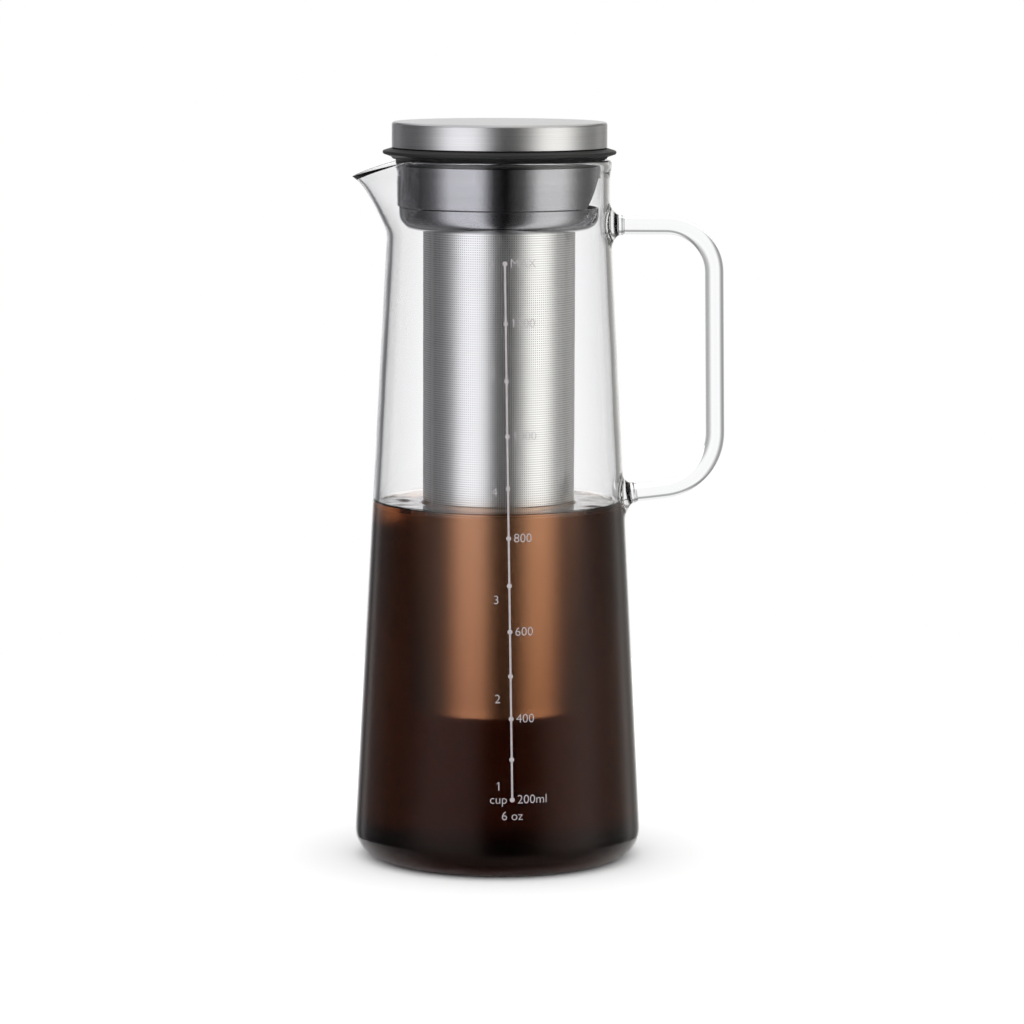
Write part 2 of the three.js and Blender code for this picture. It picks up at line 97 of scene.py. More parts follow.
ROD_HALF = Vector((1, 0.0045, 0.0033))
ROD_SIDES = 48
ARM_RINGS = 3
GRIP_RINGS = 8
WELD_SWELL = 2.1
WELD_LENGTH = 0.0058
WELD_ROOT = 0.0011
WELD_RIPPLE = 0.06
WELD_CREASE = (0.8, 1.25)
WELD_SOFTENINGS = 8
UPPER_BEND = 0.017
LOWER_BEND = 0.0205
HANDLE_TOP = RIM - 0.0233
HANDLE_BOTTOM = HANDLE_TOP - 0.0966
GRIP_TOP = Vector((0.0767, 0, HANDLE_TOP))
GRIP_FOOT = Vector((0.078, 0, HANDLE_BOTTOM + 0.004))


def side_radius(height):
    """Outer radius of the jug's straight side: a cone up to the neck."""
    share = (height - FOOT_CORNER) / (NECK_START - FOOT_CORNER)
    return max(NECK_RADIUS, BODY_RADIUS + (NECK_RADIUS - BODY_RADIUS) * share)


def turned(outline, turns, row=None, closed=True):
    """A body turned round Z from corners of (radius, height, rounding), as a bmesh."""
    shell = bmesh.new()
    corners = [shell.verts.new((radius, 0, height)) for radius, height, _ in outline]
    for here, after in zip(corners, corners[1:]):
        shell.edges.new((here, after))
    if closed:
        shell.edges.new((corners[-1], corners[0]))
    for corner, (_, _, rounding) in zip(corners, outline):
        if rounding:
            bmesh.ops.bevel(
                shell, geom=[corner], offset=rounding, offset_type="OFFSET", segments=CORNER_STEPS,
                profile=0.5, affect="VERTICES", clamp_overlap=False, material=-1)
    for edge in list(shell.edges):
        if row and edge.calc_length() > row:
            bmesh.ops.subdivide_edges(shell, edges=[edge], cuts=int(edge.calc_length() / row))
    bmesh.ops.spin(
        shell, geom=shell.verts[:] + shell.edges[:], cent=(0, 0, 0), axis=(0, 0, 1),
        angle=2 * math.pi, steps=turns, use_merge=True)
    bmesh.ops.remove_doubles(shell, verts=shell.verts, dist=1e-6)
    bmesh.ops.recalc_face_normals(shell, faces=shell.faces)
    return shell


def piece(name, shell, material, sharp=40):
    """A shown object from a bmesh, smooth but for the edges sharper than an angle."""
    mesh = bpy.data.meshes.new(name)
    shell.to_mesh(mesh)
    shell.free()
    mesh.shade_smooth()
    mesh.set_sharp_from_angle(angle=math.radians(sharp))
    mesh.materials.append(material)
    made = bpy.data.objects.new(name, mesh)
    bpy.context.scene.collection.objects.link(made)
    return made


def combined(shell, other, operation):
    """The first bmesh joined with, or cut by, the second."""
    objects = []
    for source in (shell, other):
        mesh = bpy.data.meshes.new("working")
        source.to_mesh(mesh)
        source.free()
        objects.append(bpy.data.objects.new("working", mesh))
        bpy.context.scene.collection.objects.link(objects[-1])
    modifier = objects[0].modifiers.new("join", "BOOLEAN")
    modifier.operation = operation
    modifier.object = objects[1]
    modifier.solver = "EXACT"
    depsgraph = bpy.context.evaluated_depsgraph_get()
    result = bmesh.new()
    result.from_object(objects[0], depsgraph)
    for working in objects:
        bpy.data.objects.remove(working)
    return result


def pull_spout(shell):
    """Draws the wall out to a rounded beak near -X and lets the rim fall towards its tip."""
    full = (1 - SPOUT_NOSE) ** SPOUT_SHARPNESS
    for vertex in shell.verts:
        x, y, z = vertex.co
        rise = (z - (RIM - SPOUT_LENGTH)) / SPOUT_LENGTH
        turn = math.hypot(math.atan2(y, -x) / SPOUT_HALF_ANGLE, SPOUT_NOSE)
        if rise > 0 and turn < 1:
            beak = (1 - turn) ** SPOUT_SHARPNESS / full
            radius = math.hypot(x, y)
            stretch = (radius + SPOUT_REACH * rise * beak) / radius
            vertex.co = (x * stretch, y * stretch, z - SPOUT_DIP * beak * rise ** 3)


def next_ring(rod, ring, move=Vector(), swell=1.0):
    """Draws the rod's open end out by a move, swelling it, and gives back the new end's edges."""
    grown = bmesh.ops.extrude_edge_only(rod, edges=ring)["geom"]
    corners = {g for g in grown if isinstance(g, bmesh.types.BMVert)}
    bmesh.ops.translate(rod, verts=list(corners), vec=move)
    middle = sum((c.co for c in corners), Vector()) / len(corners)
    bmesh.ops.scale(rod, verts=list(corners), vec=(swell,) * 3, space=Matrix.Translation(-middle))
    return [g for g in grown if isinstance(g, bmesh.types.BMEdge) and set(g.verts) <= corners]


def swung(rod, ring, corner, ahead, after, radius, steps=20):
    """Bends the rod round a corner of its route and gives back the new end's edges."""
    turn = ahead.angle(after)
    inward = Vector((ahead.z, 0, -ahead.x))
    centre = corner - ahead * radius * math.tan(turn / 2) + inward * radius
    last = bmesh.ops.spin(
        rod, geom=ring, cent=centre, axis=(0, 1, 0), angle=turn, steps=steps)["geom_last"]
    return [g for g in last if isinstance(g, bmesh.types.BMEdge)]


def weld_shares(steps=14):
    """How far along the weld each ring lies and how wide it is there, from the wall outwards."""
    for i in range(steps + 1):
        along = i / steps
        ripple = WELD_RIPPLE * math.sin(4 * math.pi * along) * math.sin(math.pi * along)
        yield along, 1 + (WELD_SWELL - 1) * (1 - along) ** 3 + ripple


def handle_rod():
    """The rod from the upper weld round the grip to the lower one, open at both ends."""
    rod = bmesh.new()
    upper = Vector((side_radius(HANDLE_TOP), 0, HANDLE_TOP))
    lower = Vector((side_radius(HANDLE_BOTTOM), 0, HANDLE_BOTTOM))
    out = (GRIP_TOP - upper).normalized()
    down = (GRIP_FOOT - GRIP_TOP).normalized()
    back = (lower - GRIP_FOOT).normalized()
    start = Matrix.Translation(upper - out * WELD_ROOT) @ Matrix.Diagonal((*ROD_HALF, 1))
    circle = bmesh.ops.create_circle(
        rod, segments=ROD_SIDES, radius=WELD_SWELL,
        matrix=start @ Matrix.Rotation(math.pi / 2, 4, "Y"))
    ring = list({edge for corner in circle["verts"] for edge in corner.link_edges})
    bmesh.ops.contextual_create(rod, geom=ring)
    ring = next_ring(rod, ring, out * WELD_ROOT)
    shares = list(weld_shares())
    for (along, wide), (along_after, wide_after) in zip(shares, shares[1:]):
        ring = next_ring(rod, ring, out * WELD_LENGTH * (along_after - along), wide_after / wide)
    upper_tangent = UPPER_BEND * math.tan(out.angle(down) / 2)
    lower_tangent = LOWER_BEND * math.tan(down.angle(back) / 2)
    arm = (GRIP_TOP - upper).length - WELD_LENGTH - upper_tangent
    for _ in range(ARM_RINGS):
        ring = next_ring(rod, ring, out * arm / ARM_RINGS)
    ring = swung(rod, ring, GRIP_TOP, out, down, UPPER_BEND)
    grip = (GRIP_FOOT - GRIP_TOP).length - upper_tangent - lower_tangent
    for _ in range(GRIP_RINGS):
        ring = next_ring(rod, ring, down * grip / GRIP_RINGS)
    ring = swung(rod, ring, GRIP_FOOT, down, back, LOWER_BEND)
    arm = (lower - GRIP_FOOT).length - WELD_LENGTH - lower_tangent
    for _ in range(ARM_RINGS):
        ring = next_ring(rod, ring, back * arm / ARM_RINGS)
    shares.reverse()
    for (along, wide), (along_after, wide_after) in zip(shares, shares[1:]):
        ring = next_ring(rod, ring, back * WELD_LENGTH * (along - along_after), wide_after / wide)
    ring = next_ring(rod, ring, back * WELD_ROOT)
    bmesh.ops.contextual_create(rod, geom=ring)
    bmesh.ops.remove_doubles(rod, verts=rod.verts, dist=1e-6)
    bmesh.ops.recalc_face_normals(rod, faces=rod.faces)
    for vertex in rod.verts:
        height = HANDLE_TOP if vertex.co.z > (HANDLE_TOP + HANDLE_BOTTOM) / 2 else HANDLE_BOTTOM
        beyond = (vertex.co.x - side_radius(height)) / WELD_LENGTH
        if beyond < 1:
            wall = math.sqrt(side_radius(vertex.co.z) ** 2 - vertex.co.y ** 2)
            vertex.co.x += (wall - side_radius(height)) * min(1, 1 - beyond)
    return rod


def soften_welds(shell):
    """Melts the crease where each flare meets the wall."""
    soft = []
    for height in (HANDLE_TOP, HANDLE_BOTTOM):
        for vertex in shell.verts:
            x, y, z = vertex.co
            off = math.hypot(y / ROD_HALF.y, (z - height) / ROD_HALF.z) / WELD_SWELL
            outside = math.hypot(x, y) > side_radius(z) - GLASS_WALL / 4
            near = WELD_CREASE[0] < off < WELD_CREASE[1] and x < side_radius(z) + WELD_LENGTH / 2
            if x > 0 and outside and near:
                soft.append(vertex)
    for _ in range(WELD_SOFTENINGS):
        bmesh.ops.smooth_vert(
            shell, verts=soft, factor=0.5, use_axis_x=True, use_axis_y=True, use_axis_z=True)


def add(tree, kind, settings=None, **sockets):
    """Adds a node. A keyword names a socket, with _ for a space, and gives its value or link."""
    node = tree.nodes.new(kind)
    for name, value in (settings or {}).items():
        setattr(node, name, value)
    for name, value in sockets.items():
        socket = node.inputs[name.replace("_", " ")]
        if isinstance(value, bpy.types.NodeSocket):
            tree.links.new(value, socket)
        else:
            socket.default_value = value
    return node


def calc(tree, operation, *values, clamp=False):
    """Adds a math node and gives back its result."""
    node = tree.nodes.new("ShaderNodeMath")
    node.operation = operation
    node.use_clamp = clamp
    for socket, value in zip(node.inputs, values):
        if isinstance(value, bpy.types.NodeSocket):
            tree.links.new(value, socket)
        else:
            socket.default_value = value
    return node.outputs[0]


def new_material(name, **sockets):
    """A material with one Principled shader, and that shader's tree."""
    material = bpy.data.materials.new(name)
    material.use_nodes = True
    tree = material.node_tree
    shader = tree.nodes["Principled BSDF"]
    for socket, value in sockets.items():
        shader.inputs[socket.replace("_", " ")].default_value = value
    return material, tree, shader


def feed(tree, shader, **sockets):
    """Links results to the shader's sockets."""
    for name, value in sockets.items():
        tree.links.new(value, shader.inputs[name.replace("_", " ")])


clear_glass, tree, shader = new_material(
    "clear_glass", Base_Color=CLEAR, Roughness=0.0, IOR=1.473, Transmission_Weight=1.0)
place = add(tree, "ShaderNodeTexCoord").outputs["Object"]
blown = add(tree, "ShaderNodeTexNoise", Vector=place, Scale=38.0, Detail=1.0)
ripple = add(tree, "ShaderNodeBump", Height=blown.outputs["Fac"], Strength=0.12, Distance=0.001)
axes = add(tree, "ShaderNodeSeparateXYZ", Vector=place)
reach = add(tree, "ShaderNodeVectorMath", {"operation": "LENGTH"}, Vector=add(
    tree, "ShaderNodeCombineXYZ", X=axes.outputs["X"], Y=axes.outputs["Y"]).outputs["Vector"])
slope = (NECK_RADIUS - BODY_RADIUS) / (NECK_START - FOOT_CORNER)
cone = calc(tree, "MULTIPLY_ADD", axes.outputs["Z"], slope, BODY_RADIUS - FOOT_CORNER * slope)
deep = calc(tree, "SUBTRACT", cone, reach.outputs["Value"])
wetted = calc(
    tree, "MULTIPLY", calc(tree, "GREATER_THAN", deep, GLASS_WALL / 2),
    calc(tree, "LESS_THAN", axes.outputs["Z"], COFFEE_LEVEL))
# Painted reflection in the Specular Tint: dimmed on the body, raised to full near the rim as a
# painted highlight, and shaded below the coffee level.
outer = add(
    tree, "ShaderNodeMix", {"data_type": "RGBA"},
    Factor=calc(tree, "LESS_THAN", axes.outputs["Z"], COFFEE_LEVEL))
tree.links.new(
    add(tree, "ShaderNodeMapRange", Value=axes.outputs["Z"], From_Min=RIM_HIGHLIGHT_START,
        From_Max=RIM_HIGHLIGHT_FULL, To_Min=BODY_REFLECTION_DIMMED, To_Max=1.0).outputs["Result"],
    outer.inputs["A"])
# Painted shade: the outer reflection below the coffee level is dimmed to a brown.
outer.inputs["B"].default_value = OUTSIDE_REFLECTION_SHADE
mirror = add(tree, "ShaderNodeMix", {"data_type": "RGBA"}, Factor=wetted)
tree.links.new(outer.outputs["Result"], mirror.inputs["A"])
# The wetted inner wall reflects more weakly against coffee, as it really does; the dark brown of
# that reflection is painted shade.
mirror.inputs["B"].default_value = WET_INSIDE_REFLECTION_SHADE

# Dark coffee, partly painted shade: light that reaches the wall from inside, well under the
# surface, is darkened nearly to black by the glass's colour, beyond what the drink absorbs, unless
# it comes a short way from the filter; light led out through the foot is painted a dark brown shade
path = add(tree, "ShaderNodeLightPath")
long_way = calc(
    tree, "MULTIPLY_ADD", path.outputs["Ray Length"], 1 / MURK_FADE, -MURK_START / MURK_FADE,
    clamp=True)
straight = calc(tree, "LESS_THAN", path.outputs["Glossy Depth"], 0.5)
billows = add(
    tree, "ShaderNodeTexNoise", Vector=place, Scale=55.0, Detail=3.0, Distortion=0.8)
depth = calc(
    tree, "MULTIPLY_ADD", axes.outputs["Z"], -1 / MURK_SHALLOW,
    MURK_TOP / MURK_SHALLOW - MURK_BILLOW / 2)
sunk = calc(tree, "MULTIPLY_ADD", billows.outputs["Fac"], MURK_BILLOW, depth, clamp=True)
leaving = add(tree, "ShaderNodeNewGeometry").outputs["Backfacing"]
inwards = calc(tree, "LESS_THAN", leaving, 0.5)
entered = calc(tree, "GREATER_THAN", path.outputs["Transmission Depth"], 0.5)
lost = calc(tree, "MAXIMUM", long_way, straight)
for share in (wetted, sunk, inwards, entered):
    lost = calc(tree, "MULTIPLY", lost, share)
guided = calc(tree, "MULTIPLY", leaving, calc(tree, "SUBTRACT", 1.0, straight))
# Painted shade at the foot: the glass's underside, and light that leaves the glass low down after a
# bounce, are coloured dark brown so that the foot's bottom edge stays dark.
low_down = calc(tree, "LESS_THAN", axes.outputs["Z"], FOOT_CORNER)
underneath = calc(tree, "LESS_THAN", axes.outputs["Z"], BOWL_FLOOR / 3)
foot_shade = add(
    tree, "ShaderNodeMix", {"data_type": "RGBA"},
    Factor=calc(tree, "MAXIMUM", underneath, calc(tree, "MULTIPLY", guided, low_down)))
foot_shade.inputs["A"].default_value = CLEAR
foot_shade.inputs["B"].default_value = PAINTED_FOOT_SHADE
# Painted shade: the glass takes a near-black colour for light led out from deep in the coffee.
clear = add(tree, "ShaderNodeMix", {"data_type": "RGBA"}, Factor=lost)
tree.links.new(foot_shade.outputs["Result"], clear.inputs["A"])
clear.inputs["B"].default_value = (MURK_SHADE_LEVEL, MURK_SHADE_LEVEL, MURK_SHADE_LEVEL, 1)
feed(
    tree, shader, Base_Color=clear.outputs["Result"], Normal=ripple.outputs["Normal"],
    Specular_Tint=mirror.outputs["Result"])
greenish = add(
    tree, "ShaderNodeVolumeAbsorption", Color=(0.9, 0.93, 0.93, 1), Density=16.0)
tree.links.new(greenish.outputs[0], tree.nodes["Material Output"].inputs["Volume"])

bead_radius = NECK_RADIUS - GLASS_WALL + 2 * BEAD
glass_body = turned(
    [
        (0, 0, 0),
        (side_radius(0), 0, FOOT_CORNER),
        (NECK_RADIUS, NECK_START, NECK_ROUNDING),
        (NECK_RADIUS, RIM - 4 * BEAD, BEAD),
        (bead_radius, RIM - 2 * BEAD, BEAD / 2),
        (bead_radius, RIM, RIM_ROUNDING),
        (NECK_RADIUS - GLASS_WALL, RIM, RIM_ROUNDING),
        (NECK_RADIUS - GLASS_WALL, NECK_START, NECK_ROUNDING),
        (side_radius(BOWL_FLOOR) - GLASS_WALL, BOWL_FLOOR, BOWL_CORNER),
        (0, BOWL_FLOOR, 0),
    ],
    GLASS_TURNS, GLASS_ROW, closed=False)
pull_spout(glass_body)
glass_body = combined(glass_body, handle_rod(), "UNION")
soften_welds(glass_body)
jug_glass = piece("jug_glass", glass_body, clear_glass, sharp=60)
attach(jug_glass, "jug")
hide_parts("carafe", "handle")

# Coffee
# The drink that the photograph shows in the jug: clear brown liquid to a little under 900 ml,
# drawn up slightly where it touches the glass and the filter.
COFFEE_IOR = 1.15
COFFEE_SOFT = 0.3
SURFACE_SOFT = 0.12
COFFEE_WETS = 0.00012
MENISCUS = 0.0011
FILTER_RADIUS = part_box("filter_sleeve")[1].x
RIPPLE_HEIGHT = 0.00012
RIPPLE_SCALE = 90
WAVE_HEIGHT = 0.0005
WAVE_SCALE = 150

coffee_liquid, tree, shader = new_material(
    "coffee_liquid", Base_Color=(1.0, 0.99, 0.98, 1), IOR=COFFEE_IOR, Transmission_Weight=1.0,
    Coat_IOR=1.33, Coat_Roughness=0.02)
place = add(tree, "ShaderNodeTexCoord").outputs["Object"]
swirl = add(tree, "ShaderNodeTexNoise", Vector=place, Scale=60.0, Detail=2.0)
ripple = add(tree, "ShaderNodeBump", Height=swirl.outputs["Fac"], Strength=0.1, Distance=0.001)
axes = add(tree, "ShaderNodeSeparateXYZ", Vector=place)
surface = calc(tree, "GREATER_THAN", axes.outputs["Z"], COFFEE_LEVEL - MENISCUS)
feed(
    tree, shader, Normal=ripple.outputs["Normal"], Coat_Weight=surface,
    Roughness=calc(tree, "MULTIPLY_ADD", surface, SURFACE_SOFT - COFFEE_SOFT, COFFEE_SOFT))
brown = add(tree, "ShaderNodeVolumeAbsorption", Color=(0.72, 0.39, 0.11, 1), Density=65.0)
tree.links.new(brown.outputs[0], tree.nodes["Material Output"].inputs["Volume"])

inner_top = side_radius(COFFEE_LEVEL) - GLASS_WALL
brim_radius = side_radius(COFFEE_LEVEL + MENISCUS) - GLASS_WALL + COFFEE_WETS
foot_radius = side_radius(BOWL_FLOOR) - GLASS_WALL + COFFEE_WETS
coffee_shell = turned(
    [
        (0, BOWL_FLOOR - COFFEE_WETS, 0),
        (foot_radius, BOWL_FLOOR - COFFEE_WETS, BOWL_CORNER),
        (brim_radius, COFFEE_LEVEL + MENISCUS, 0),
        (inner_top - MENISCUS / 4, COFFEE_LEVEL + MENISCUS / 2, 0),
        (inner_top - MENISCUS, COFFEE_LEVEL, MENISCUS / 2),
        (FILTER_RADIUS + MENISCUS, COFFEE_LEVEL, MENISCUS / 2),
        (FILTER_RADIUS, COFFEE_LEVEL + MENISCUS, 0),
        (FILTER_RADIUS - GLASS_WALL, COFFEE_LEVEL, 0),
        (0, COFFEE_LEVEL, 0),
    ],
    GLASS_TURNS, GLASS_ROW / 2, closed=False)
for vertex in coffee_shell.verts:
    reach = math.hypot(vertex.co.x, vertex.co.y)
    if vertex.co.z > COFFEE_LEVEL - MENISCUS / 4 and reach < inner_top - MENISCUS:
        aside = min(1, max(0, abs(vertex.co.x) / FILTER_RADIUS - 1) * 4)
        vertex.co.z += RIPPLE_HEIGHT * noise.noise(vertex.co * RIPPLE_SCALE)
        vertex.co.z += WAVE_HEIGHT * aside * noise.noise(vertex.co * WAVE_SCALE)
coffee = piece("coffee", coffee_shell, coffee_liquid, sharp=60)
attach(coffee, "jug")

# Printed scale
# Pale enamel fired on the front of the glass: one upright line with a dot at each 100 ml, the
# volumes on its right and the cups on its left.
PRINT_THICKNESS = 0.00004
LINE_WIDTH = 0.0007
DOT_RADIUS = 0.00088
DOT_SIDES = 20
LINE_FOOT = 0.0052
LINE_HEAD = 0.0020
ML = 1e-6
CUP = 223 * ML
LEVEL_STEP = 0.0002
MARK_SPREAD = 1.013
MARK_DROP = 0.0007
PRINTED = {200: "200ml", 400: "400", 600: "600", 800: "800", 1000: "1000", 1200: "1200"}
FIGURE_HEIGHT = 0.0031
FIGURE_SHARE = 0.7
FIGURE_THINNED = 0.00004
FIGURE_GAP = 0.0017
CUP_GAP = 3.4 * FIGURE_GAP
SIZE_DROP = 0.0058
MAX_DEPTH = 0.0346
ONE_FLAG = 0.0006


def level_of(volume):
    """Height that a volume of coffee fills the jug to."""
    height, filled = GLASS_FLOOR, 0.0
    while filled < volume:
        height += LEVEL_STEP
        filled += math.pi * (side_radius(height) - GLASS_WALL) ** 2 * LEVEL_STEP
    return height


enamel, tree, shader = new_material("enamel", Base_Color=(0.66, 0.62, 0.64, 1), Roughness=0.35)
place = add(tree, "ShaderNodeTexCoord").outputs["Object"]
worn = add(tree, "ShaderNodeTexNoise", Vector=place, Scale=900.0, Detail=3.0)
shades = add(tree, "ShaderNodeValToRGB", Fac=worn.outputs["Fac"])
shades.color_ramp.elements[0].position = 0.35
shades.color_ramp.elements[0].color = (0.5, 0.46, 0.48, 1)
shades.color_ramp.elements[1].color = (0.72, 0.68, 0.7, 1)
feed(tree, shader, Base_Color=shades.outputs["Color"])

LINE_LOW = level_of(200 * ML) - MARK_DROP
LINE_HIGH = RIM - MAX_DEPTH


def mark(volume):
    """Height of a volume's mark on the scale."""
    return LINE_LOW + (level_of(volume) - level_of(200 * ML)) * MARK_SPREAD


def line_place(height):
    """How far right of the middle the printed line stands at a height."""
    return LINE_FOOT + (LINE_HEAD - LINE_FOOT) * (height - LINE_LOW) / (LINE_HIGH - LINE_LOW)


def wrap_on_glass(flat):
    """Bends flat print, drawn across X and Z, round the front of the jug."""
    for vertex in flat.verts:
        x, y, z = vertex.co
        radius = side_radius(z) - y
        vertex.co = (radius * math.sin(x / radius), -radius * math.cos(x / radius), z)


def raised(flat):
    """Gives flat print its thickness and wraps it, from just under the glass to just over it."""
    bmesh.ops.translate(flat, verts=flat.verts, vec=(0, PRINT_THICKNESS / 2, 0))
    grown = bmesh.ops.extrude_face_region(flat, geom=flat.faces[:])["geom"]
    front = [g for g in grown if isinstance(g, bmesh.types.BMVert)]
    bmesh.ops.translate(flat, verts=front, vec=(0, -2 * PRINT_THICKNESS, 0))
    wrap_on_glass(flat)
    bmesh.ops.recalc_face_normals(flat, faces=flat.faces)
    return flat


def written(text, height, across, align="LEFT"):
    """Flat print of a short text, standing on the XZ plane."""
    curve = bpy.data.curves.new("text", "FONT")
    curve.body = text
    curve.size = FIGURE_HEIGHT / FIGURE_SHARE
    curve.align_x = align
    curve.align_y = "CENTER"
    curve.offset = -FIGURE_THINNED
    curve.resolution_u = 4
    words = bpy.data.objects.new("text", curve)
    bpy.context.scene.collection.objects.link(words)
    flat = bmesh.new()
    flat.from_mesh(bpy.data.meshes.new_from_object(words))
    bpy.data.objects.remove(words)
    bmesh.ops.remove_doubles(flat, verts=flat.verts, dist=1e-6)
    bmesh.ops.rotate(
        flat, verts=flat.verts, cent=(0, 0, 0), matrix=Matrix.Rotation(math.pi / 2, 3, "X"))
    if text.startswith("1"):
        left = min(vertex.co.x for vertex in flat.verts)
        top = max(vertex.co.z for vertex in flat.verts)
        flag = [(0, 0), (0, -ONE_FLAG / 2), (-ONE_FLAG, -1.5 * ONE_FLAG), (-ONE_FLAG, -ONE_FLAG)]
        flat.faces.new([flat.verts.new((left + x, 0, top + z)) for x, z in flag])
    bmesh.ops.translate(flat, verts=flat.verts, vec=(across, 0, height))
    return flat


def add_print(name, flat):
    """Shows flat print on the jug, in enamel."""
    made = piece(name, raised(flat), enamel)
    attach(made, "jug")


line = bmesh.new()
ends = []
for height in (LINE_LOW, LINE_HIGH):
    for side in (-1, 1):
        ends.append(line.verts.new((line_place(height) + side * LINE_WIDTH / 2, 0, height)))
line.faces.new([ends[0], ends[1], ends[3], ends[2]])
bmesh.ops.subdivide_edges(line, edges=line.edges[:], cuts=1)
for height in (*(mark(volume * ML) for volume in range(200, 1201, 100)), LINE_HIGH):
    spot = Matrix.Translation((line_place(height), -PRINT_THICKNESS / 4, height))
    bmesh.ops.create_circle(
        line, cap_ends=True, segments=DOT_SIDES, radius=DOT_RADIUS,
        matrix=spot @ Matrix.Rotation(math.pi / 2, 4, "X"))
add_print("scale_line", line)
for volume, text in PRINTED.items():
    height = mark(volume * ML)
    add_print(f"scale_{volume}", written(text, height, line_place(height) + FIGURE_GAP))
add_print("scale_max", written("MAX", LINE_HIGH, line_place(LINE_HIGH) + FIGURE_GAP))
for cup in range(1, 7):
    height = min(mark(cup * CUP), LINE_HIGH) if cup > 1 else LINE_LOW + 1.5 * FIGURE_HEIGHT
    flat = written(str(cup), height, line_place(height) - CUP_GAP)
    add_print(f"scale_cup_{cup}", flat)
add_print("scale_cup", written("cup", LINE_LOW, line_place(LINE_LOW) - FIGURE_GAP, "RIGHT"))
add_print("scale_size", written("6 oz", LINE_LOW - SIZE_DROP, line_place(LINE_LOW), "CENTER"))

# Filter sleeve
# A tube of thin stainless sheet, etched all over with fine square holes, with plain margins at
# both ends and one welded seam down its side.
sleeve_low, sleeve_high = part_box("filter_sleeve")
SLEEVE_WALL = 0.0004
SLEEVE_ROW = 0.02
STEEL_TURNS = 192
HOLES_AROUND = 212
HOLE_PITCH = 2 * math.pi * FILTER_RADIUS / HOLES_AROUND
HOLE_OPEN = 0.45
HOLE_EDGE = 8.0
SEAM_WIDTH = 0.0016
SEAM_TURN = math.radians(-60)
MARGIN = 0.003


def new_group(name, inputs, outputs):
    """A shader node group with float sockets."""
    group = bpy.data.node_groups.new(name, "ShaderNodeTree")
    for socket, value in inputs.items():
        made = group.interface.new_socket(socket, in_out="INPUT", socket_type="NodeSocketFloat")
        made.default_value = value
    for socket in outputs:
        group.interface.new_socket(socket, in_out="OUTPUT", socket_type="NodeSocketFloat")
    return group, group.nodes.new("NodeGroupInput"), group.nodes.new("NodeGroupOutput")


def add_group(tree, group, **sockets):
    """Places a node group in a material."""
    return add(tree, "ShaderNodeGroup", {"node_tree": group}, **sockets)


# Etched holes: a square hole in the middle of each cell, from a place counted in cells
etched_holes, given, result = new_group(
    "etched_holes", {"Across": 0, "Up": 0, "Open": HOLE_OPEN}, ["Hole"])
sides = []
for direction in ("Across", "Up"):
    cell = calc(etched_holes, "FRACT", given.outputs[direction])
    off = calc(etched_holes, "ABSOLUTE", calc(etched_holes, "SUBTRACT", cell, 0.5))
    half = calc(etched_holes, "MULTIPLY", given.outputs["Open"], 0.5)
    edge = calc(etched_holes, "SUBTRACT", half, off)
    sides.append(calc(etched_holes, "MULTIPLY_ADD", edge, HOLE_EDGE, 0.5, clamp=True))
etched_holes.links.new(calc(etched_holes, "MULTIPLY", *sides), result.inputs["Hole"])

# Brushing: streaks that run round the jug's axis, from Object coordinates
brushing, given, result = new_group("brushing", {"Lines": 3000.0}, ["Streak"])
place = add(brushing, "ShaderNodeTexCoord").outputs["Object"]
axes = add(brushing, "ShaderNodeSeparateXYZ", Vector=place)
reach = calc(
    brushing, "SQRT",
    calc(brushing, "ADD", calc(brushing, "POWER", axes.outputs["X"], 2.0),
         calc(brushing, "POWER", axes.outputs["Y"], 2.0)))
around = add(
    brushing, "ShaderNodeCombineXYZ", X=calc(brushing, "DIVIDE", axes.outputs["X"], reach),
    Y=calc(brushing, "DIVIDE", axes.outputs["Y"], reach),
    Z=calc(brushing, "MULTIPLY", axes.outputs["Z"], given.outputs["Lines"]))
streak = add(
    brushing, "ShaderNodeTexNoise", {"noise_dimensions": "4D"}, Vector=around.outputs["Vector"],
    W=calc(brushing, "MULTIPLY", reach, given.outputs["Lines"]), Scale=1.0, Detail=4.0)
brushing.links.new(streak.outputs["Fac"], result.inputs["Streak"])


